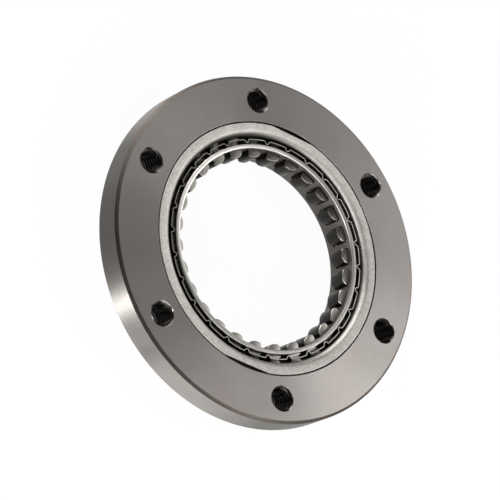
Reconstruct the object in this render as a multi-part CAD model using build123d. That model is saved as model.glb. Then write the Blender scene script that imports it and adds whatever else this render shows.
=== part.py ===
# One-way sprag clutch with a bolt-on outer ring, in millimetres.
# The clutch axis is Z. The cages' rear rims lie on z = 0 and the bolted front face looks up.
# Angles are counted from +X, seen from the front. The clutch is shown with no hub in its bore.

from build123d import *
from math import asin, cos, degrees, hypot, radians, sin, sqrt, tan
import os

# Hub and sprag space
hub_radius = 28.875
sprag_space = 8.325
tip_bite = 0.125
race_clearance = 0.12

# Outer ring
recess_to_bolt_circle = 6.8
bolt_circle_to_rim = 7.5
rim_thickness = 9.8
bolt_hole_count = 6
first_bolt_angle = 30.0
tap_drill_radius = 3.4
bolt_countersink = 0.55
front_edge_chamfer = 0.83
rear_edge_chamfer = 0.4
raceway_rear_chamfer = 0.4

# Outer cage, drawn from sheet with a flange that lies in the ring's recess
race_to_outer_cage = 1.1
outer_sheet = 1.2
bend_inside_radius = 0.7
bend_steps = 3
flange_reach = 3.85
flange_side_clearance = 0.45
flange_seat_clearance = 0.05
flange_flat_depth = 0.8
first_flat_angle = 72.0
flange_flat_count = 2
cage_overhang = 3.0

# Inner cage
hub_to_inner_cage = 2.225
inner_wall = 1.3
inner_cage_set_back = 0.83

# Ribbon spring between the cages
ribbon_gap = 0.92
ribbon_thickness = 0.25
ribbon_overhang = 1.8
notch_depth = 0.95
notch_mouth_width = 1.9
notch_floor_width = 0.54
first_notch_angle = 20.5

# Sprags
sprag_count = 28
sprag_front_depth = 3.0
sprag_rear_inset = 0.7
outer_head_width = 4.6
inner_head_width = 4.65
waist_width = 3.5
waist_length = 1.0
shoulder_length = 0.45
outer_cam_radius = 3.4
outer_cam_offset = 0.5
inner_cam_radius = 4.0
inner_cam_offset = 0.6
cam_corner_bevel = 0.45
leading_tip_bevel = 0.65
bevel_share_of_wall = 0.8

# Windows that the sprags pass through
window_front_gap = 0.4
window_rear_gap = 0.75
inner_side_gap = 0.225
outer_side_gap = 0.25
ribbon_side_gap = 0.35
ribbon_end_gap = 0.3
ribbon_window_shift = 0.1

# Radii that follow from the sizes above
raceway_radius = hub_radius + sprag_space
outer_cage_outside = raceway_radius - race_to_outer_cage
outer_cage_inside = outer_cage_outside - outer_sheet
flange_radius = outer_cage_inside + flange_reach
recess_radius = flange_radius + flange_side_clearance
bolt_circle_radius = recess_radius + recess_to_bolt_circle
rim_radius = bolt_circle_radius + bolt_circle_to_rim
inner_cage_inside = hub_radius + hub_to_inner_cage
inner_cage_outside = inner_cage_inside + inner_wall
ribbon_radius = outer_cage_inside - ribbon_gap - ribbon_thickness / 2

# Heights that follow from the sizes above
face_z = rim_thickness + cage_overhang
ring_rear_z = cage_overhang
recess_floor_z = face_z - outer_sheet - flange_seat_clearance
sprag_front_z = face_z - sprag_front_depth
sprag_rear_z = ring_rear_z + sprag_rear_inset
sprag_length = sprag_front_z - sprag_rear_z

pitch_angle = 360 / sprag_count
first_sprag_angle = first_notch_angle + pitch_angle / 2


def turned(points):
    """A solid of revolution from a closed outline of (radius, height) points."""
    outline = make_face(Polyline(*points, close=True))
    return revolve(Plane.XZ * outline, Axis.Z, 360)


def around(shape, count, first_angle):
    """Copies of a shape placed evenly about the clutch axis."""
    return [Rot(0, 0, first_angle + k * 360 / count) * shape for k in range(count)]


def housing():
    """Outer ring: raceway bore, recess for the flange, tapped holes, chamfered rims."""
    body = turned([
        (raceway_radius + raceway_rear_chamfer, ring_rear_z),
        (rim_radius - rear_edge_chamfer, ring_rear_z),
        (rim_radius, ring_rear_z + rear_edge_chamfer),
        (rim_radius, face_z - front_edge_chamfer),
        (rim_radius - front_edge_chamfer, face_z),
        (recess_radius, face_z),
        (recess_radius, recess_floor_z),
        (raceway_radius, recess_floor_z),
        (raceway_radius, ring_rear_z + raceway_rear_chamfer),
    ])
    hole = turned([
        (0, ring_rear_z),
        (tap_drill_radius, ring_rear_z),
        (tap_drill_radius, face_z - bolt_countersink),
        (tap_drill_radius + bolt_countersink, face_z),
        (0, face_z),
    ])
    holes = around(Pos(bolt_circle_radius, 0, 0) * hole, bolt_hole_count, first_bolt_angle)
    return body - holes


def window_cutter(width, front_z, rear_z, inside, outside):
    """A slug that punches one window through a wall, along +X."""
    middle = (front_z + rear_z) / 2
    wall = Plane(origin=(inside, 0, middle), x_dir=(0, 1, 0), z_dir=(1, 0, 0))
    return extrude(wall * Rectangle(width, front_z - rear_z), outside - inside)


def bend(centre, radius):
    """One side of the sheet's quarter turn from sleeve to flange, in short straight steps."""
    turns = [radians(90 * k / bend_steps) for k in range(bend_steps + 1)]
    return [(centre[0] - radius * cos(t), centre[1] + radius * sin(t)) for t in turns]


def outer_cage():
    """Windowed sleeve with a flange, bent outwards from one sheet, with two flats on its rim."""
    bend_centre = (outer_cage_outside + bend_inside_radius, face_z - outer_sheet - bend_inside_radius)
    sleeve = turned(
        [(outer_cage_outside, 0), (outer_cage_inside, 0)]
        + bend(bend_centre, bend_inside_radius + outer_sheet)
        + [(flange_radius, face_z), (flange_radius, face_z - outer_sheet)]
        + bend(bend_centre, bend_inside_radius)[::-1]
    )
    window = window_cutter(outer_head_width + 2 * outer_side_gap, sprag_front_z + window_front_gap,
                           sprag_rear_z - window_rear_gap, outer_cage_inside - outer_sheet,
                           outer_cage_outside + outer_sheet)
    flat = Pos(flange_radius, 0, face_z) * Box(2 * flange_flat_depth, 2 * flange_radius, 4 * outer_sheet)
    return (sleeve - around(window, sprag_count, first_sprag_angle)
            - around(flat, flange_flat_count, first_flat_angle))


def inner_cage():
    """Plain sleeve with one window for each sprag."""
    front_z = face_z - inner_cage_set_back
    sleeve = turned([
        (inner_cage_inside, 0),
        (inner_cage_outside, 0),
        (inner_cage_outside, front_z),
        (inner_cage_inside, front_z),
    ])
    window = window_cutter(inner_head_width + 2 * inner_side_gap, sprag_front_z + window_front_gap,
                           sprag_rear_z - window_rear_gap, inner_cage_inside - inner_wall,
                           inner_cage_outside + inner_wall)
    return sleeve - around(window, sprag_count, first_sprag_angle)


def polar(radius, angle):
    return (radius * cos(radians(angle)), radius * sin(radians(angle)))


def ribbon_loop(offset):
    """One side of the strip seen from the front: arcs joined by a notch between sprags."""
    slope = (notch_mouth_width - notch_floor_width) / 2
    mitre = offset * tan(asin(notch_depth / hypot(slope, notch_depth)) / 2)
    radius = ribbon_radius + offset
    to_angle = degrees(1 / ribbon_radius)
    mouth = (notch_mouth_width / 2 - mitre) * to_angle
    floor = (notch_floor_width / 2 - mitre) * to_angle
    edges = []
    for k in range(sprag_count):
        notch = first_notch_angle + k * pitch_angle
        start = notch + mouth
        end = notch + pitch_angle - mouth
        corners = [polar(radius, notch - mouth), polar(radius - notch_depth, notch - floor),
                   polar(radius - notch_depth, notch + floor), polar(radius, notch + mouth)]
        edges.append(Polyline(*corners))
        middle = (start + end) / 2
        edges.append(ThreePointArc(polar(radius, start), polar(radius, middle), polar(radius, end)))
    return make_face(Curve() + edges)


def ribbon_spring():
    """Thin notched strip round the sprags' waists, with a window for each sprag."""
    strip = ribbon_loop(ribbon_thickness / 2) - ribbon_loop(-ribbon_thickness / 2)
    length = sprag_length + 2 * ribbon_overhang
    band = extrude(Pos(0, 0, sprag_rear_z - ribbon_overhang) * strip, length)
    window = window_cutter(waist_width + 2 * ribbon_side_gap, sprag_front_z + ribbon_end_gap,
                           sprag_rear_z - ribbon_end_gap, ribbon_radius - ribbon_gap,
                           ribbon_radius + ribbon_gap)
    return band - around(Pos(0, ribbon_window_shift, 0) * window, sprag_count, first_sprag_angle)


def cam_point(centre, radius, across, outwards):
    """Point on a cam arc at a sideways place; each cam's centre is (radius, sideways)."""
    rise = sqrt(radius ** 2 - (across - centre[1]) ** 2)
    return (centre[0] + outwards * rise, across)


def sprag_profile():
    """Closed outline of a sprag standing along +X, from its tip up to the raceway."""
    crest = raceway_radius - race_clearance - outer_cam_radius
    outer_centre = (sqrt(crest ** 2 - outer_cam_offset ** 2), -outer_cam_offset)
    nadir = hub_radius - tip_bite + inner_cam_radius
    inner_centre = (sqrt(nadir ** 2 - inner_cam_offset ** 2), inner_cam_offset)
    outer_half = outer_head_width / 2
    inner_half = inner_head_width / 2
    waist_half = waist_width / 2
    waist_middle = ribbon_radius - ribbon_thickness / 2
    waist_top = waist_middle + waist_length / 2
    waist_bottom = waist_middle - waist_length / 2
    outer_left = cam_point(outer_centre, outer_cam_radius, -outer_half, 1)
    outer_right = cam_point(outer_centre, outer_cam_radius, outer_half, 1)
    inner_left = cam_point(inner_centre, inner_cam_radius, -inner_half, -1)
    inner_right = cam_point(inner_centre, inner_cam_radius, inner_half, -1)
    outline = (
        ThreePointArc(outer_left, cam_point(outer_centre, outer_cam_radius, 0, 1), outer_right)
        + Polyline(outer_right, (waist_top + shoulder_length, outer_half), (waist_top, waist_half),
                   (waist_bottom, waist_half), (waist_bottom - shoulder_length, inner_half), inner_right)
        + ThreePointArc(inner_right, cam_point(inner_centre, inner_cam_radius, 0, -1), inner_left)
        + Polyline(inner_left, (waist_bottom - shoulder_length, -inner_half), (waist_bottom, -waist_half),
                   (waist_top, -waist_half), (waist_top + shoulder_length, -outer_half), outer_left)
    )
    face = make_face(outline)
    bevels = [
        (outer_left, waist_top + shoulder_length, cam_corner_bevel),
        (outer_right, waist_top + shoulder_length, cam_corner_bevel),
        (inner_left, waist_bottom - shoulder_length, cam_corner_bevel),
        (inner_right, waist_bottom - shoulder_length, leading_tip_bevel),
    ]
    for place, wall_end, size in bevels:
        # A bevel keeps part of the head's flat side, whatever the head's width leaves of it
        corner = face.vertices().sort_by_distance((place[0], place[1], 0))[0]
        face = chamfer([corner], min(size, bevel_share_of_wall * abs(place[0] - wall_end)))
    return face


def sprag():
    return extrude(Pos(0, 0, sprag_rear_z) * sprag_profile(), sprag_length)


os.makedirs("parts", exist_ok=True)
export_step(housing(), "parts/housing.step")
export_step(outer_cage(), "parts/outer_cage.step")
export_step(inner_cage(), "parts/inner_cage.step")
export_step(ribbon_spring(), "parts/ribbon_spring.step")
one_sprag = sprag()
for number, placed in enumerate(around(one_sprag, sprag_count, first_sprag_angle), start=1):
    export_step(placed, f"parts/sprag_{number:02d}.step")
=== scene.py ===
import math

import bmesh
import bpy
from mathutils import Matrix, Vector


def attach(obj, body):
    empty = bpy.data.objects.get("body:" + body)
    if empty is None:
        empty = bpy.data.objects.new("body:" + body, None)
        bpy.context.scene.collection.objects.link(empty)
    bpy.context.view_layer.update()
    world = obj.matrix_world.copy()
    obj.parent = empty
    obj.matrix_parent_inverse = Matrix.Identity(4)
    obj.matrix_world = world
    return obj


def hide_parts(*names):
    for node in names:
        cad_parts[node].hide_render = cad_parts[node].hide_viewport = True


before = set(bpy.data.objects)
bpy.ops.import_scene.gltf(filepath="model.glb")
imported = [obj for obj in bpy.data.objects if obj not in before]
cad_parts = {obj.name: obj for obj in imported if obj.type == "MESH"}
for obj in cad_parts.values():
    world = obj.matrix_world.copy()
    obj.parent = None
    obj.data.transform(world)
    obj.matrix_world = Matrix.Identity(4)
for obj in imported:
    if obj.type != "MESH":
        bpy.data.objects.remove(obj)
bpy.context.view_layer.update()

mm = 0.001
seamWeld = 0.002 * mm
sectorWeld = 0.003 * mm
scene = bpy.context.scene
scene.view_settings.view_transform = "Standard"


# Small helpers

def linearColour(hexValue):
    # an sRGB hex value turned into the linear one that a shader works with
    parts = [int(hexValue[i:i + 2], 16) / 255 for i in (1, 3, 5)]
    return [p / 12.92 if p <= 0.04045 else ((p + 0.055) / 1.055) ** 2.4 for p in parts] + [1.0]


def addNode(tree, kind, settings=None, inputs=None):
    node = tree.nodes.new(kind)
    for key, value in (settings or {}).items():
        setattr(node, key, value)
    for key, value in (inputs or {}).items():
        if isinstance(value, bpy.types.NodeSocket):
            tree.links.new(value, node.inputs[key])
        else:
            node.inputs[key].default_value = value
    return node


def onCircle(radius, turn, z):
    # millimetres and degrees in, a point in metres out
    return Vector((radius * math.cos(math.radians(turn)), radius * math.sin(math.radians(turn)), z)) * mm


rounding = {"steps": 3, "guard": 0.04}


def roundedLine(corners):
    # each corner is (x, y, radius); a radius turns it into a short arc with a guard point on each side
    points = []
    for k, (x, y, radius) in enumerate(corners):
        here = Vector((x, y))
        if not radius:
            points.append(here)
            continue
        before = (Vector(corners[k - 1][:2]) - here).normalized()
        after = (Vector(corners[k + 1][:2]) - here).normalized()
        reach = radius / math.tan(before.angle(after) / 2)
        start = here + before * reach
        end = here + after * reach
        points.append(start + before * rounding["guard"])
        for s in range(rounding["steps"] + 1):
            t = s / rounding["steps"]
            points.append(start.lerp(here, t).lerp(here.lerp(end, t), t))
        points.append(end + after * rounding["guard"])
    return points


def skin(bm, rows, wrap=False, finishes=0):
    # faces between neighbouring rows of points; wrap joins the end of each row to its start;
    # the finish, one for all or one per row of faces, says which of a ring's steels a face gets
    mark = bm.faces.layers.int.get("finish") or bm.faces.layers.int.new("finish")
    grid = [[bm.verts.new(point) for point in row] for row in rows]
    for step, (low, high) in enumerate(zip(grid, grid[1:])):
        for k in range(len(low) - (0 if wrap else 1)):
            m = (k + 1) % len(low)
            face = bm.faces.new((low[k], low[m], high[m], high[k]))
            face.smooth = True
            face[mark] = finishes if isinstance(finishes, int) else finishes[step]


def sweepRows(line, turns):
    return [[onCircle(radius, turn, z) for turn in turns] for radius, z in line]


def meshObject(name, bm):
    mesh = bpy.data.meshes.new(name)
    bm.to_mesh(mesh)
    bm.free()
    made = bpy.data.objects.new(name, mesh)
    scene.collection.objects.link(made)
    return made


def finishPiece(made, body, nodes, sharpAngle=35):
    # closes the seams, turns the faces outwards and tells the frame what the piece is
    bm = bmesh.new()
    bm.from_mesh(made.data)
    bmesh.ops.remove_doubles(bm, verts=bm.verts, dist=seamWeld)
    bmesh.ops.recalc_face_normals(bm, faces=bm.faces)
    bm.to_mesh(made.data)
    bm.free()
    made.data.set_sharp_from_angle(angle=math.radians(sharpAngle))
    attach(made, body)
    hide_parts(*nodes)
    print(made.name, "has", len(made.data.polygons), "faces")


# Camera, at the photograph's viewing angle

cameraSet = {
    "place": (-0.45425, -0.20383, 0.64736), "turn": (17.645, -33.882, -5.341), "lens": 195.13, "sensor": 36}

cameraData = bpy.data.cameras.new("studioCamera")
cameraData.lens = cameraSet["lens"]
cameraData.sensor_width = cameraSet["sensor"]
camera = bpy.data.objects.new("studioCamera", cameraData)
camera.location = cameraSet["place"]
camera.rotation_euler = [math.radians(a) for a in cameraSet["turn"]]
scene.collection.objects.link(camera)
scene.camera = camera


# Materials

# what all the steels share: their noises, the part of a noise that counts, the bumps' depths in mm, and the
# turn that lets a stretched reflection lie across the tool marks
steelNoise = {
    "marks": {"Detail": 2.0, "Roughness": 0.6}, "cloud": {"Detail": 4.0, "Roughness": 0.55},
    "grain": {"Detail": 3.0, "Roughness": 0.6}, "narrow": (0.35, 0.65), "wide": (0.3, 0.7),
    "roughnessSpread": 0.04, "markDepth": 0.02, "grainDepth": 0.05, "stretchTurn": 0.25}


def metal(name, look):
    # one kind of steel; the look says its colours, how smooth it is, its tool marks and its bands of painted
    # light and shade
    low, high = steelNoise["wide"]
    material = bpy.data.materials.new(name)
    material.use_nodes = True
    tree = material.node_tree
    tree.nodes.clear()
    place = addNode(tree, "ShaderNodeTexCoord").outputs["Object"]
    apart = addNode(tree, "ShaderNodeSeparateXYZ", inputs={0: place})
    flatPlace = addNode(tree, "ShaderNodeCombineXYZ", inputs={"X": apart.outputs["X"], "Y": apart.outputs["Y"]})
    radius = addNode(tree, "ShaderNodeVectorMath", {"operation": "LENGTH"}, {0: flatPlace.outputs[0]})

    # tool marks run round the axis, so they are a pattern of radius plus height only
    along = addNode(tree, "ShaderNodeMath", {"operation": "ADD"},
                    {0: radius.outputs["Value"], 1: apart.outputs["Z"]})
    marks = addNode(tree, "ShaderNodeTexNoise", {"noise_dimensions": "1D"}, {
        "W": along.outputs[0], "Scale": 1 / (look["markPitch"] * mm), **steelNoise["marks"]})
    cloud = addNode(tree, "ShaderNodeTexNoise", inputs={
        "Vector": place, "Scale": 1 / (look["cloudSize"] * mm), **steelNoise["cloud"]})
    grain = addNode(tree, "ShaderNodeTexNoise", inputs={
        "Vector": place, "Scale": 1 / (look["grainSize"] * mm), **steelNoise["grain"]})

    tone = addNode(tree, "ShaderNodeMix", {"data_type": "RGBA"}, {
        "Factor": cloud.outputs["Fac"], 6: linearColour(look["dark"]), 7: linearColour(look["light"])})
    mottle = addNode(tree, "ShaderNodeMapRange", inputs={
        0: grain.outputs["Fac"], 1: steelNoise["narrow"][0], 2: steelNoise["narrow"][1],
        3: 1 - look["mottle"], 4: 1 + look["mottle"]})
    lines = addNode(tree, "ShaderNodeMapRange", inputs={
        0: marks.outputs["Fac"], 1: low, 2: high, 3: 1 - look["lines"], 4: 1 + look["lines"]})
    both = addNode(tree, "ShaderNodeMath", {"operation": "MULTIPLY"},
                   {0: mottle.outputs[0], 1: lines.outputs[0]})
    outwards = addNode(tree, "ShaderNodeVectorMath", {"operation": "NORMALIZE"}, {0: flatPlace.outputs[0]})
    for paintedBand in look.get("paintedLightAndShade", []):
        # each band of painted light and shade scales the colour over a span of radius, in mm; the radius counts
        # as longer by the band's reach
        # # on the side that it lies towards and as shorter opposite, so a long reach makes a one-sided band
        alongSide = addNode(tree, "ShaderNodeVectorMath", {"operation": "DOT_PRODUCT"},
                            {0: outwards.outputs[0], 1: onCircle(paintedBand["reach"], paintedBand["towards"], 0)})
        where = addNode(tree, "ShaderNodeMath", {"operation": "ADD"},
                        {0: radius.outputs["Value"], 1: alongSide.outputs["Value"]})
        shade = addNode(tree, "ShaderNodeMapRange", {"interpolation_type": "SMOOTHSTEP"}, {
            0: where.outputs[0], 1: paintedBand["span"][0] * mm, 2: paintedBand["span"][1] * mm,
            3: paintedBand["shades"][0], 4: paintedBand["shades"][1]})
        both = addNode(tree, "ShaderNodeMath", {"operation": "MULTIPLY"},
                       {0: both.outputs[0], 1: shade.outputs[0]})
    colour = addNode(tree, "ShaderNodeVectorMath", {"operation": "SCALE"},
                     {0: tone.outputs[2], "Scale": both.outputs[0]})

    rough = addNode(tree, "ShaderNodeMapRange", inputs={
        0: grain.outputs["Fac"], 1: low, 2: high, 3: look["roughness"] - steelNoise["roughnessSpread"],
        4: look["roughness"] + steelNoise["roughnessSpread"]})
    markBump = addNode(tree, "ShaderNodeBump", inputs={
        "Strength": look["markBump"], "Distance": steelNoise["markDepth"] * mm, "Height": marks.outputs["Fac"]})
    bump = addNode(tree, "ShaderNodeBump", inputs={
        "Strength": look["grainBump"], "Distance": steelNoise["grainDepth"] * mm,
        "Height": grain.outputs["Fac"], "Normal": markBump.outputs["Normal"]})
    tangent = addNode(tree, "ShaderNodeTangent", {"direction_type": "RADIAL", "axis": "Z"})
    shader = addNode(tree, "ShaderNodeBsdfPrincipled", inputs={
        "Base Color": colour.outputs[0], "Metallic": 1.0, "Roughness": rough.outputs[0],
        "Anisotropic": look["stretch"], "Anisotropic Rotation": steelNoise["stretchTurn"],
        "Normal": bump.outputs["Normal"], "Tangent": tangent.outputs[0]})
    addNode(tree, "ShaderNodeOutputMaterial", inputs={"Surface": shader.outputs[0]})
    return material


# Turned face: fine rings round the axis stretch each reflection across them; the colour is painted a little
# lighter towards azimuth 335 and darker opposite, as painted light and shade
turnedSteel = metal("turnedSteel", {
    "dark": "#8b8280", "light": "#95948f", "roughness": 0.4, "stretch": 0.8, "markPitch": 0.4, "lines": 0.04,
    "markBump": 0.12, "cloudSize": 14, "grainSize": 0.5, "mottle": 0.03, "grainBump": 0.05,
    "paintedLightAndShade": [{"span": (-14, 106), "shades": (0.88, 1.19), "towards": 335, "reach": 60.0}]})
# Ground rim and raceway: smoother and darker than the face, painted lighter towards azimuth 240 and darker
# elsewhere, as painted light and shade
groundRim = metal("groundSteelLightAndShade", {
    "dark": "#6d6a67", "light": "#7c7975", "roughness": 0.38, "stretch": 0.95, "markPitch": 0.5, "lines": 0.05,
    "markBump": 0.1, "cloudSize": 8, "grainSize": 0.5, "mottle": 0.04, "grainBump": 0.05,
    "paintedLightAndShade": [{"span": (62, 73.5), "shades": (0.76, 1.12), "towards": 240, "reach": 20.0}]})
# The chamfer round the face is painted dark brown as a shaded edge line, with more painted shade towards
# azimuth 212 and painted light on the other sides
chamferLightAndShade = metal("chamferSteelLightAndShade", {
    "dark": "#2f2b28", "light": "#393531", "roughness": 0.52, "stretch": 0.2, "markPitch": 0.3, "lines": 0.04,
    "markBump": 0.08, "cloudSize": 6, "grainSize": 0.5, "mottle": 0.06, "grainBump": 0.1,
    "paintedLightAndShade": [{"span": (56.3, 58.9), "shades": (2.6, 0.5), "towards": 212, "reach": 6.0}]})
# Tapped holes, recess and cut flats: steel painted near black, as painted shade down in them
holeShadeSteel = metal("tappedSteelPaintedShade", {
    "dark": "#262422", "light": "#35322f", "roughness": 0.35, "stretch": 0.0, "markPitch": 0.3, "lines": 0.03,
    "markBump": 0.1, "cloudSize": 3, "grainSize": 0.3, "mottle": 0.08, "grainBump": 0.2})
# Pressed sheet, hardened and tumbled in a barrel: a bright silky skin full of tiny dents; painted shade darkens
# it down the bend into the gap, a painted highlight lies on the bend towards azimuth 320, and it is painted
# lighter towards azimuth 130 and darker opposite
tumbledSheet = metal("tumbledSheetSteel", {
    "dark": "#a5a19c", "light": "#c4c0bb", "roughness": 0.58, "stretch": 0.0, "markPitch": 0.5, "lines": 0.02,
    "markBump": 0.05, "cloudSize": 2.0, "grainSize": 0.5, "mottle": 0.16, "grainBump": 0.7,
    "paintedLightAndShade": [{"span": (34.65, 36.35), "shades": (0.1, 1.0), "towards": 320, "reach": 0.6},
            {"span": (-2, 78), "shades": (0.84, 1.13), "towards": 130, "reach": 40.0},
            {"span": (24.0, 25.4), "shades": (1.5, 1.0), "towards": 140, "reach": 12.0}]})
# Drawn sleeve: its walls are painted dark grey, as painted shade in the bore
sleeveWallShade = metal("sleeveSteelPaintedShade", {
    "dark": "#55524f", "light": "#625f5b", "roughness": 0.45, "stretch": 0.2, "markPitch": 0.4, "lines": 0.03,
    "markBump": 0.05, "cloudSize": 3, "grainSize": 0.5, "mottle": 0.06, "grainBump": 0.3})
# Its front and rear rims are ground bright, with faint rings from the wheel; they are painted lighter towards
# azimuth 140 and darker towards 45, 225 and 325, as painted light and shade
groundSleeve = metal("groundSleeveSteel", {
    "dark": "#a8a5a0", "light": "#bfbcb7", "roughness": 0.48, "stretch": 0.3, "markPitch": 0.3, "lines": 0.05,
    "markBump": 0.1, "cloudSize": 3, "grainSize": 0.5, "mottle": 0.05, "grainBump": 0.2,
    "paintedLightAndShade": [{"span": (28.7, 34.8), "shades": (0.68, 1.35), "towards": 145, "reach": 3.0},
            {"span": (40.0, 43.8), "shades": (1.0, 1.25), "towards": 140, "reach": 12.0},
            {"span": (41.0, 43.8), "shades": (1.0, 0.66), "towards": 45, "reach": 12.0},
            {"span": (41.0, 43.8), "shades": (1.0, 0.66), "towards": 225, "reach": 12.0}]})
# Cold-rolled strip: its flanks painted dark as painted shade in the gap, its edges facing up and down painted
# light as a painted highlight
stripFlankShade = metal("springStripPaintedShade", {
    "dark": "#56524c", "light": "#68645d", "roughness": 0.3, "stretch": 0.3, "markPitch": 0.2, "lines": 0.03,
    "markBump": 0.05, "cloudSize": 3, "grainSize": 0.4, "mottle": 0.04, "grainBump": 0.1})
stripEdgeHighlight = metal("springStripPaintedHighlight", {
    "dark": "#bfbbb3", "light": "#d3cfc7", "roughness": 0.3, "stretch": 0.0, "markPitch": 0.2, "lines": 0.03,
    "markBump": 0.05, "cloudSize": 1.5, "grainSize": 0.3, "mottle": 0.08, "grainBump": 0.15})
# Cold-drawn bearing steel: flanks and cams painted dark as painted shade in the windows and the gap; the ends
# painted paler as lit faces, lighter still towards azimuths 270, 335 and 155 and darker towards 90, and the
# outer heads painted dark as shade down in the gap
spragFlankShade = metal("bearingSteelPaintedShade", {
    "dark": "#272523", "light": "#302e2b", "roughness": 0.36, "stretch": 0.0, "markPitch": 0.3, "lines": 0.02,
    "markBump": 0.05, "cloudSize": 2, "grainSize": 0.35, "mottle": 0.06, "grainBump": 0.3})
spragEndsLightAndShade = metal("bearingSteelEndsLightAndShade", {
    "dark": "#7f7c77", "light": "#908d87", "roughness": 0.36, "stretch": 0.0, "markPitch": 0.3, "lines": 0.02,
    "markBump": 0.05, "cloudSize": 2, "grainSize": 0.35, "mottle": 0.05, "grainBump": 0.3,
    "paintedLightAndShade": [{"span": (32.2, 35.2), "shades": (1.0, 0.25), "towards": 325, "reach": 0.8},
            {"span": (24.0, 38.0), "shades": (0.65, 1.35), "towards": 270, "reach": 12.0},
            {"span": (36.0, 42.0), "shades": (1.0, 2.3), "towards": 335, "reach": 12.0},
            {"span": (38.0, 42.0), "shades": (1.0, 1.7), "towards": 155, "reach": 12.0}]})
print("materials made")


# Geometry Nodes tree that sets copies of a sector round the clutch axis

mostFinishes = 4


def radialCopies():
    tree = bpy.data.node_groups.new("radialCopies", "GeometryNodeTree")
    sockets = {"Sector": "NodeSocketGeometry", "Count": "NodeSocketInt", "First Angle": "NodeSocketFloat",
               "Merge Distance": "NodeSocketFloat"}
    sockets.update({f"Finish {number}": "NodeSocketMaterial" for number in range(mostFinishes)})
    for name, kind in sockets.items():
        tree.interface.new_socket(name, in_out="INPUT", socket_type=kind)
    tree.interface.new_socket("Ring", in_out="OUTPUT", socket_type="NodeSocketGeometry")
    given = addNode(tree, "NodeGroupInput").outputs
    points = addNode(tree, "GeometryNodeMeshLine", inputs={"Count": given["Count"], "Offset": (0, 0, 0)})
    step = addNode(tree, "ShaderNodeMath", {"operation": "DIVIDE"}, {0: math.tau, 1: given["Count"]})
    index = addNode(tree, "GeometryNodeInputIndex")
    turn = addNode(tree, "ShaderNodeMath", {"operation": "MULTIPLY_ADD"},
                   {0: index.outputs[0], 1: step.outputs[0], 2: given["First Angle"]})
    rotation = addNode(tree, "ShaderNodeCombineXYZ", inputs={"Z": turn.outputs[0]})
    placed = addNode(tree, "GeometryNodeInstanceOnPoints", inputs={
        "Points": points.outputs["Mesh"], "Instance": given["Sector"], "Rotation": rotation.outputs[0]})
    real = addNode(tree, "GeometryNodeRealizeInstances", inputs={0: placed.outputs[0]})
    merged = addNode(tree, "GeometryNodeMergeByDistance", inputs={
        "Geometry": real.outputs[0], "Distance": given["Merge Distance"]})
    finish = addNode(tree, "GeometryNodeInputNamedAttribute", {"data_type": "INT"}, {"Name": "finish"})
    painted = merged
    for number in range(mostFinishes):
        chosen = addNode(tree, "FunctionNodeCompare", {"data_type": "INT", "operation": "EQUAL"},
                         {2: finish.outputs[0], 3: number})
        painted = addNode(tree, "GeometryNodeSetMaterial", inputs={
            "Geometry": painted.outputs[0], "Selection": chosen.outputs[0],
            "Material": given[f"Finish {number}"]})
    addNode(tree, "NodeGroupOutput", inputs={"Ring": painted.outputs[0]})
    return tree


copiesTree = radialCopies()


def ringOf(name, sectorMesh, count, firstAngle, finishes, thickness=0):
    # one sector repeated round the axis and turned into a plain mesh
    sector = meshObject(name + "Sector", sectorMesh)
    modifier = sector.modifiers.new("copies", "NODES")
    modifier.node_group = copiesTree
    values = {"Count": count, "First Angle": math.radians(firstAngle), "Merge Distance": sectorWeld}
    values.update({f"Finish {number}": finish for number, finish in enumerate(finishes)})
    for item in copiesTree.interface.items_tree:
        if item.in_out == "INPUT" and item.name in values:
            modifier[item.identifier] = values[item.name]
    if thickness:
        solid = sector.modifiers.new("thickness", "SOLIDIFY")
        solid.thickness = thickness * mm
        solid.offset = 0
    evaluated = sector.evaluated_get(bpy.context.evaluated_depsgraph_get())
    mesh = bpy.data.meshes.new_from_object(evaluated)
    mesh.name = name
    made = bpy.data.objects.new(name, mesh)
    scene.collection.objects.link(made)
    bpy.data.objects.remove(sector)
    return made


# Outer ring

ring = {
    "rimRadius": 53.5, "faceZ": 12.8, "rearZ": 3.0, "frontChamfer": 0.83, "rearChamfer": 0.4,
    "recessRadius": 39.2, "recessFloorZ": 11.55, "racewayRadius": 37.2, "racewayChamfer": 0.4,
    "boltCircle": 46.0, "boltCount": 6, "firstBolt": 30.0,
    "edge": 0.08, "lead": 0.3, "near": 0.01, "arcSteps": 36, "sideSteps": 12, "plateSteps": 5}
# the groove's half width and its flank's are shares of the pitch
thread = {
    "pitch": 1.25, "minorRadius": 3.2, "majorRadius": 3.95, "mouthRadius": 4.0, "rearRadius": 3.25,
    "plainRear": 1.0, "grooveHalf": 0.375, "flank": 0.3125, "rowsPerTurn": 9, "brightRows": 2}


def plateRows(outerRadius, innerRadius, z, mouthRadius):
    # rows of a flat plate, from the hole's mouth out to the border of the sector
    half = 180 / ring["boltCount"]
    arc, side = ring["arcSteps"], ring["sideSteps"]
    border = [onCircle(outerRadius, half * (2 * k / arc - 1), z) for k in range(arc)]
    border += [onCircle(outerRadius + (innerRadius - outerRadius) * k / side, half, z) for k in range(side)]
    border += [onCircle(innerRadius, half * (1 - 2 * k / arc), z) for k in range(arc)]
    border += [onCircle(innerRadius + (outerRadius - innerRadius) * k / side, -half, z) for k in range(side)]
    mouth = [holePoint(mouthRadius, k, z) for k in range(len(border))]
    rows = []
    for j in range(ring["plateSteps"] + 1):
        part = j / ring["plateSteps"]
        rows.append([a.lerp(b, part) for a, b in zip(mouth, border)])
    return rows


def holeSteps():
    return 2 * (ring["arcSteps"] + ring["sideSteps"])


def holePoint(radius, k, z):
    turn = math.tau * (k - ring["arcSteps"] / 2) / holeSteps()
    return Vector((ring["boltCircle"] + radius * math.cos(turn), radius * math.sin(turn), z)) * mm


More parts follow.
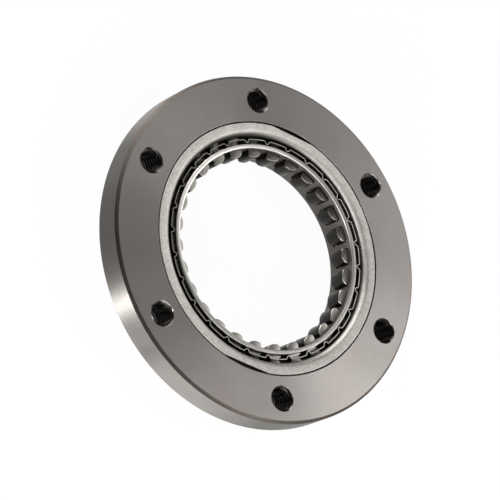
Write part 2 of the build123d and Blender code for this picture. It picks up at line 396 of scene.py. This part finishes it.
def threadRadius(k, z):
    # 60 degree thread, cut away by the countersink in front and ending before the rear
    along = (z / thread["pitch"] - k / holeSteps()) % 1
    fromMiddle = abs(along - 0.5)
    depth = min(1, max(0, (thread["grooveHalf"] - fromMiddle) / thread["flank"]))
    cut = thread["minorRadius"] + (thread["majorRadius"] - thread["minorRadius"]) * depth
    runOut = min(1, max(0, (z - ring["rearZ"]) / thread["plainRear"] - 1))
    cut = thread["rearRadius"] + (cut - thread["rearRadius"]) * runOut
    return max(cut, thread["mouthRadius"] - (ring["faceZ"] - z))


def ringSector():
    bm = bmesh.new()
    half = 180 / ring["boltCount"]
    turns = [half * (2 * k / ring["arcSteps"] - 1) for k in range(ring["arcSteps"] + 1)]
    rim, face, rear = ring["rimRadius"], ring["faceZ"], ring["rearZ"]
    front, back, edge, lead = ring["frontChamfer"], ring["rearChamfer"], ring["edge"], ring["lead"]
    race, raceCut, recess, floor = (
        ring[part] for part in ("racewayRadius", "racewayChamfer", "recessRadius", "recessFloorZ"))
    outside = roundedLine([
        (rim - front - lead, face, 0), (rim - front, face, edge), (rim, face - front, edge),
        (rim, rear + back, edge), (rim - back, rear, edge), (rim - back - lead, rear, 0)])
    inside = roundedLine([
        (race + raceCut + lead, rear, 0), (race + raceCut, rear, edge), (race, rear + raceCut, edge),
        (race, floor, edge), (recess, floor, edge), (recess, face, edge), (recess + lead, face, 0)])
    # the faces are turned, the rim and the raceway ground; the recess, like the holes, gets the steel painted
    # near black as painted shade
    onChamfer = [rim - front < r < rim and z > face - front for r, z in outside[:-1]]
    skin(bm, sweepRows(outside, turns), finishes=[0] + [3 if c else 1 for c in onChamfer[1:-1]] + [0])
    skin(bm, sweepRows(inside, turns), finishes=[
        0 if z > face - edge - ring["near"] else 2 if z > floor - ring["near"] else 1 for r, z in inside[:-1]])
    skin(bm, plateRows(rim - front - lead, recess + lead, face, thread["mouthRadius"]), wrap=True)
    skin(bm, plateRows(rim - back - lead, race + raceCut + lead, rear, thread["rearRadius"]), wrap=True)
    rowCount = round((face - rear) / thread["pitch"] * thread["rowsPerTurn"])
    heights = [face + (rear - face) * j / rowCount for j in range(rowCount + 1)]
    # the first rows at the hole's mouth keep the rim's steel; the thread below them gets the steel painted near
    # black as painted shade
    skin(bm, [[holePoint(threadRadius(k, z), k, z) for k in range(holeSteps())] for z in heights],
         wrap=True, finishes=[1 if j < thread["brightRows"] else 2 for j in range(rowCount)])
    return bm


housingRing = ringOf("housingRing", ringSector(), ring["boltCount"], ring["firstBolt"],
                     [turnedSteel, groundRim, holeShadeSteel, chamferLightAndShade])
finishPiece(housingRing, "outer_ring", ["housing"])


# Cages: one window for each sprag

sprags = {"count": 28, "firstAngle": 20.5 + 180 / 28}
window = {"width": 5.1, "lowZ": 2.95, "highZ": 10.2, "corner": 0.7, "edge": 0.1, "guard": 0.06,
          "columns": 12, "rows": 8}


def besideCorner(length, steps, corner):
    # places along one side of a window, counted from its sharp corner, close together on the round parts
    straight = [corner + (length - 2 * corner) * k / (steps - 4) for k in range(steps - 3)]
    return [0, corner / 2] + straight + [length - corner / 2]


def windowRow(radius, grow):
    # outline of the window where it meets a cylinder; grow moves the outline outwards
    wide = window["width"] + 2 * grow
    high = window["highZ"] - window["lowZ"] + 2 * grow
    corner = window["corner"] + grow
    middle = (window["highZ"] + window["lowZ"]) / 2
    row = []
    sides = ((wide, high, window["columns"], 0), (high, wide, window["rows"], 90),
             (wide, high, window["columns"], 180), (high, wide, window["rows"], 270))
    for length, depth, steps, facing in sides:
        for along in besideCorner(length, steps, corner):
            x, y = along - length / 2, -depth / 2
            toCorner = min(along, length - along)
            if toCorner < corner:
                lean = math.radians(45) * (1 - toCorner / corner) * (-1 if along < length / 2 else 1)
                centre = (corner - length / 2) if along < length / 2 else (length / 2 - corner)
                x = centre + corner * math.sin(lean)
                y = corner - depth / 2 - corner * math.cos(lean)
            swing = math.radians(facing)
            sideways = x * math.cos(swing) - y * math.sin(swing)
            upwards = x * math.sin(swing) + y * math.cos(swing)
            row.append(onCircle(radius, math.degrees(math.asin(sideways / radius)), middle + upwards))
    return row


def borderRow(radius, lowZ, highZ):
    half = 180 / sprags["count"]
    columns, rows = window["columns"], window["rows"]
    row = [onCircle(radius, half * (2 * k / columns - 1), lowZ) for k in range(columns)]
    row += [onCircle(radius, half, lowZ + (highZ - lowZ) * k / rows) for k in range(rows)]
    row += [onCircle(radius, half * (1 - 2 * k / columns), highZ) for k in range(columns)]
    row += [onCircle(radius, -half, highZ + (lowZ - highZ) * k / rows) for k in range(rows)]
    return row


def cageSector(inside, outside, lowZ, highZ, rimLines, rimFinish=0):
    # a wall with its window between two heights, and the rims that close it below and above
    bm = bmesh.new()
    edge, guard = window["edge"], window["guard"]
    rows = [borderRow(inside, lowZ, highZ), windowRow(inside, edge + guard), windowRow(inside, edge),
            windowRow(inside + edge, 0), windowRow(outside - edge, 0), windowRow(outside, edge),
            windowRow(outside, edge + guard), borderRow(outside, lowZ, highZ)]
    skin(bm, rows, wrap=True)
    half = 180 / sprags["count"]
    turns = [half * (2 * k / window["columns"] - 1) for k in range(window["columns"] + 1)]
    for line in rimLines:
        skin(bm, sweepRows(line, turns), finishes=[0] + [rimFinish] * (len(line) - 3) + [0])
    return bm


def quarterTurn(centre, radius, steps):
    turns = [math.radians(90 * k / steps) for k in range(steps + 1)]
    return [(centre[0] - radius * math.cos(t), centre[1] + radius * math.sin(t), 0) for t in turns]


# Outer cage with its rolled flange

outerCage = {"inside": 34.9, "outside": 36.1, "lowZ": 0.6, "bendZ": 10.9, "bendRadius": 0.7, "bendSteps": 8,
             "flangeRadius": 38.75, "topZ": 12.8, "sheet": 1.2, "edge": 0.14, "rimEdge": 0.15,
             "flatDepth": 0.8, "firstFlat": 72.0}


def outerCageSector():
    inside, outside, sheet = outerCage["inside"], outerCage["outside"], outerCage["sheet"]
    rimRadius, topZ, edge = outerCage["flangeRadius"], outerCage["topZ"], outerCage["edge"]
    centre = (outside + outerCage["bendRadius"], outerCage["bendZ"])
    crown = quarterTurn(centre, outerCage["bendRadius"] + sheet, outerCage["bendSteps"])
    throat = quarterTurn(centre, outerCage["bendRadius"], outerCage["bendSteps"])[::-1]
    rear = roundedLine([(inside, outerCage["lowZ"], 0), (inside, 0, outerCage["rimEdge"]),
                        (outside, 0, outerCage["rimEdge"]), (outside, outerCage["lowZ"], 0)])
    front = roundedLine(crown + [(rimRadius, topZ, edge), (rimRadius, topZ - sheet, edge)] + throat)
    return cageSector(inside, outside, outerCage["lowZ"], outerCage["bendZ"], [rear, front])


def cutFlats(made):
    # two flats on the flange's rim, cut square through the sheet; their cut faces get the steel painted near
    # black as painted shade
    bm = bmesh.new()
    bm.from_mesh(made.data)
    for turn in (outerCage["firstFlat"], outerCage["firstFlat"] + 180):
        outwards = onCircle(1, turn, 0).normalized()
        point = outwards * (outerCage["flangeRadius"] - outerCage["flatDepth"]) * mm
        everything = bm.verts[:] + bm.edges[:] + bm.faces[:]
        cut = bmesh.ops.bisect_plane(bm, geom=everything, plane_co=point, plane_no=outwards, clear_outer=True)
        rims = [item for item in cut["geom_cut"] if isinstance(item, bmesh.types.BMEdge)]
        for face in bmesh.ops.edgeloop_fill(bm, edges=rims)["faces"]:
            face.material_index = 1
            face.smooth = False
    bm.to_mesh(made.data)
    bm.free()


outerCageSleeve = ringOf("outerCageSleeve", outerCageSector(), sprags["count"], sprags["firstAngle"],
                         [tumbledSheet, holeShadeSteel])
cutFlats(outerCageSleeve)
finishPiece(outerCageSleeve, "cage", ["outer_cage"])


# Inner cage

innerCage = {"inside": 31.1, "outside": 32.4, "lowZ": 0.7, "highZ": 11.2, "topZ": 11.97, "edge": 0.36}


def innerCageSector():
    inside, outside, edge = innerCage["inside"], innerCage["outside"], innerCage["edge"]
    rear = roundedLine([(inside, innerCage["lowZ"], 0), (inside, 0, edge), (outside, 0, edge),
                        (outside, innerCage["lowZ"], 0)])
    front = roundedLine([(inside, innerCage["highZ"], 0), (inside, innerCage["topZ"], edge),
                         (outside, innerCage["topZ"], edge), (outside, innerCage["highZ"], 0)])
    return cageSector(inside, outside, innerCage["lowZ"], innerCage["highZ"], [rear, front], rimFinish=1)


innerCageSleeve = ringOf("innerCageSleeve", innerCageSector(), sprags["count"], sprags["firstAngle"],
                         [sleeveWallShade, groundSleeve])
finishPiece(innerCageSleeve, "inner_cage", ["inner_cage"])


# Ribbon spring: a thin strip with a notch between each two sprags and a window for each

ribbon = {
    "radius": 33.855, "thickness": 0.25, "lowZ": 1.9, "highZ": 11.6, "windowLowZ": 3.4, "windowHighZ": 10.1,
    "windowWidth": 4.2, "windowShift": 0.1, "notchDepth": 0.95, "mouthWidth": 1.9, "floorWidth": 0.54,
    "bend": 0.22, "arcSteps": 10, "edgeFacing": 0.7}


def ribbonSector():
    bm = bmesh.new()
    radius, floorRadius = ribbon["radius"], ribbon["radius"] - ribbon["notchDepth"]
    half = 180 / sprags["count"]
    toDegrees = math.degrees(1 / radius)
    mouth = half - ribbon["mouthWidth"] / 2 * toDegrees
    floor = half - ribbon["floorWidth"] / 2 * toDegrees
    firstSide = math.degrees(math.asin((ribbon["windowShift"] - ribbon["windowWidth"] / 2) / radius))
    lastSide = math.degrees(math.asin((ribbon["windowShift"] + ribbon["windowWidth"] / 2) / radius))
    arc = [firstSide + (lastSide - firstSide) * k / ribbon["arcSteps"] for k in range(ribbon["arcSteps"] + 1)]
    corners = [(floorRadius, -half, 0), (floorRadius, -floor, ribbon["bend"]), (radius, -mouth, ribbon["bend"])]
    corners += [(radius, turn, 0) for turn in arc]
    corners += [(radius, mouth, ribbon["bend"]), (floorRadius, floor, ribbon["bend"]), (floorRadius, half, 0)]
    flat = [(r * math.cos(math.radians(a)), r * math.sin(math.radians(a)), bend) for r, a, bend in corners]
    line = roundedLine(flat)
    heights = [ribbon["lowZ"], ribbon["windowLowZ"], ribbon["windowHighZ"], ribbon["highZ"]]
    rows = [[Vector((x, y, z)) * mm for x, y in line] for z in heights]
    skin(bm, rows)
    low, high = math.radians(firstSide), math.radians(lastSide)
    for face in bm.faces[:]:
        middle = face.calc_center_median()
        inWindow = ribbon["windowLowZ"] * mm < middle.z < ribbon["windowHighZ"] * mm
        if inWindow and low < math.atan2(middle.y, middle.x) < high:
            bm.faces.remove(face)
    return bm


ribbonStrip = ringOf("ribbonStrip", ribbonSector(), sprags["count"], sprags["firstAngle"],
                     [stripFlankShade], thickness=ribbon["thickness"])
# the strip got its thickness after its finishes, so its edges, painted light as a highlight, are found by their
# direction and its flanks keep the painted shade
ribbonStrip.data.materials.clear()
for steel in (stripFlankShade, stripEdgeHighlight):
    ribbonStrip.data.materials.append(steel)
for face in ribbonStrip.data.polygons:
    face.material_index = int(abs(face.normal.z) > ribbon["edgeFacing"])
finishPiece(ribbonStrip, "cage", ["ribbon_spring"])


# Sprags: figure-eight blocks with a cam at each end, tumbled so that every edge is round

spragShape = {
    "lowZ": 3.7, "highZ": 9.8, "outerHalf": 2.3, "innerHalf": 2.325, "waistHalf": 1.75,
    "waistTop": 34.23, "waistBottom": 33.23, "shoulder": 0.45, "outerLead": 0.4, "innerLead": 0.6,
    "outerCam": {"centre": (33.676, -0.5), "radius": 3.4},
    "innerCam": {"centre": (32.7445, 0.6), "radius": 4.0},
    "corner": 0.6, "waistRound": 0.25, "endRound": 0.32, "paleShare": 0.5,
    "camSteps": 12, "cornerSteps": 4, "endSteps": 3}


def camPoint(cam, across, outwards):
    rise = math.sqrt(cam["radius"] ** 2 - (across - cam["centre"][1]) ** 2)
    return Vector((cam["centre"][0] + outwards * rise, across))


def roundCorner(before, corner, after, steps):
    return [before.lerp(corner, s / steps).lerp(corner.lerp(after, s / steps), s / steps)
            for s in range(1, steps)]


def spragHead(cam, half, outwards, side):
    # one head: up its wall, round a corner, over the cam, round the other corner
    cut, steps, camSteps = spragShape["corner"], spragShape["cornerSteps"], spragShape["camSteps"]
    first, last = camPoint(cam, -half * side, outwards), camPoint(cam, half * side, outwards)
    down = Vector((-outwards * cut, 0))
    start, end = (cut - half) * side, (half - cut) * side
    arc = [camPoint(cam, start + (end - start) * k / camSteps, outwards) for k in range(camSteps + 1)]
    return ([first + down] + roundCorner(first + down, first, arc[0], steps) + arc
            + roundCorner(arc[-1], last, last + down, steps) + [last + down])


def spragOutline():
    shape = spragShape
    top, bottom, shoulder, bend = (
        shape[part] for part in ("waistTop", "waistBottom", "shoulder", "waistRound"))

    def waist(side):
        outer, narrow, inner = (shape[part] * side for part in ("outerHalf", "waistHalf", "innerHalf"))
        corners = [(top + shoulder + shape["outerLead"], outer, 0), (top + shoulder, outer, bend),
                   (top, narrow, bend), (bottom, narrow, bend), (bottom - shoulder, inner, bend),
                   (bottom - shoulder - shape["innerLead"], inner, 0)]
        return roundedLine(corners)[1:-1]

    outline = spragHead(shape["outerCam"], shape["outerHalf"], 1, 1) + waist(1)
    outline += spragHead(shape["innerCam"], shape["innerHalf"], -1, -1) + waist(-1)[::-1]
    return outline


def shrunk(outline, by):
    # the outline moved inwards along its own normals
    moved = []
    for k, here in enumerate(outline):
        along = (outline[(k + 1) % len(outline)] - outline[k - 1]).normalized()
        moved.append(here + Vector((-along.y, along.x)) * by)
    return moved


def makeSprag(number):
    bm = bmesh.new()
    outline = spragOutline()
    turn = Matrix.Rotation(math.radians(sprags["firstAngle"] + (number - 1) * 360 / sprags["count"]), 4, "Z")
    soft, low, high = spragShape["endRound"], spragShape["lowZ"], spragShape["highZ"]
    layers = []
    for k in range(spragShape["endSteps"] + 1):
        lean = math.radians(90 * k / spragShape["endSteps"])
        layers.append((soft * (1 - math.sin(lean)), soft * (1 - math.cos(lean))))
    rows = [(low + up, inwards) for inwards, up in layers]
    rows += [(high - up, inwards) for inwards, up in layers[::-1]]
    grid = [[turn @ (Vector((p.x, p.y, z)) * mm) for p in shrunk(outline, inwards)] for z, inwards in rows]
    skin(bm, grid, wrap=True)
    bm.verts.ensure_lookup_table()
    count = len(outline)
    for start in (0, count * (len(grid) - 1)):
        face = bm.faces.new(bm.verts[start:start + count])
        face.smooth = True
    # faces near the ends get the paler steel, painted light as lit faces
    for face in bm.faces:
        toEnd = min(face.calc_center_median().z / mm - low, high - face.calc_center_median().z / mm)
        face.material_index = int(toEnd < spragShape["paleShare"] * soft)
    made = meshObject(f"spragPiece{number:02d}", bm)
    for steel in (spragFlankShade, spragEndsLightAndShade):
        made.data.materials.append(steel)
    finishPiece(made, f"sprag_{number:02d}", [f"sprag_{number:02d}"], sharpAngle=45)


for spragNumber in range(1, sprags["count"] + 1):
    makeSprag(spragNumber)
print("sprags made")


# Studio: pale floor, pale room, soft boxes and, for the streak on the rim, three narrow slots

studio = {
    "floorSize": 6.0, "floorColour": "#f4f4f4", "whiteShare": 0.96, "roomLevel": 0.03, "lampDistance": 0.6}
lamps = {
    "boxEastLow": {"azimuth": 0, "elevation": 14, "size": 0.2, "watts": 0.80},
    "boxEast": {"azimuth": 0, "elevation": 35, "size": 0.2, "watts": 0.36},
    "boxEastNorthLow": {"azimuth": 20, "elevation": 14, "size": 0.2, "watts": 0.44},
    "boxEastNorth": {"azimuth": 20, "elevation": 35, "size": 0.2, "watts": 0.31},
    "boxNorthEast": {"azimuth": 40, "elevation": 35, "size": 0.2, "watts": 0.09},
    "boxNorthLow": {"azimuth": 100, "elevation": 14, "size": 0.2, "watts": 2.07},
    "boxNorthWest": {"azimuth": 120, "elevation": 35, "size": 0.2, "watts": 0.65},
    "boxSouthWestLow": {"azimuth": 240, "elevation": 14, "size": 0.2, "watts": 2.50},
    "boxSouthSouthWestLow": {"azimuth": 260, "elevation": 14, "size": 0.2, "watts": 2.47},
    "boxSouthLow": {"azimuth": 280, "elevation": 14, "size": 0.2, "watts": 1.38},
    "boxEastSouth": {"azimuth": 340, "elevation": 35, "size": 0.2, "watts": 1.39},
    "boxEastSouthHigh": {"azimuth": 340, "elevation": 60, "size": 0.2, "watts": 0.36},
    "slotWest": {"azimuth": 200, "elevation": 5, "size": 0.05, "watts": 5.0},
    "slotWestMid": {"azimuth": 212, "elevation": 5, "size": 0.05, "watts": 0.3},
    "slotWestSouth": {"azimuth": 220, "elevation": 5, "size": 0.05, "watts": 0.6}}

floorMesh = bmesh.new()
reach = studio["floorSize"] / 2
corners = [floorMesh.verts.new((x * reach, y * reach, 0)) for x, y in ((-1, -1), (1, -1), (1, 1), (-1, 1))]
floorMesh.faces.new(corners)
floor = meshObject("studioFloor", floorMesh)
floorPaint = bpy.data.materials.new("palePaper")
floorPaint.use_nodes = True
tree = floorPaint.node_tree
tree.nodes.clear()
rays = addNode(tree, "ShaderNodeLightPath").outputs
shown = addNode(tree, "ShaderNodeMath", {"operation": "MAXIMUM"},
                {0: rays["Is Camera Ray"], 1: rays["Is Glossy Ray"]})
shown = addNode(tree, "ShaderNodeMath", {"operation": "MAXIMUM"},
                {0: shown.outputs[0], 1: rays["Is Transmission Ray"]})
share = addNode(tree, "ShaderNodeMath", {"operation": "MULTIPLY"},
                {0: shown.outputs[0], 1: studio["whiteShare"]})
paper = addNode(tree, "ShaderNodeBsdfDiffuse", inputs={"Color": linearColour(studio["floorColour"])})
white = addNode(tree, "ShaderNodeEmission", inputs={"Color": (1, 1, 1, 1), "Strength": 1.0})
mixed = addNode(tree, "ShaderNodeMixShader", inputs={
    0: share.outputs[0], 1: paper.outputs[0], 2: white.outputs[0]})
addNode(tree, "ShaderNodeOutputMaterial", inputs={"Surface": mixed.outputs[0]})
floor.data.materials.append(floorPaint)

room = bpy.data.worlds.new("paleRoom")
scene.world = room
room.use_nodes = True
tree = room.node_tree
tree.nodes.clear()
sky = addNode(tree, "ShaderNodeBackground", inputs={"Color": (1, 1, 1, 1), "Strength": studio["roomLevel"]})
addNode(tree, "ShaderNodeOutputWorld", inputs={"Surface": sky.outputs[0]})

for lampName, lamp in lamps.items():
    light = bpy.data.lights.new(lampName, "AREA")
    light.shape = "SQUARE"
    light.size = lamp["size"]
    light.energy = lamp["watts"]
    lampObject = bpy.data.objects.new(lampName, light)
    azimuth, elevation = math.radians(lamp["azimuth"]), math.radians(lamp["elevation"])
    away = Vector((math.cos(azimuth) * math.cos(elevation), math.sin(azimuth) * math.cos(elevation),
                   math.sin(elevation)))
    lampObject.location = away * studio["lampDistance"]
    lampObject.rotation_euler = away.to_track_quat("Z", "Y").to_euler()
    scene.collection.objects.link(lampObject)
print("studio lit")
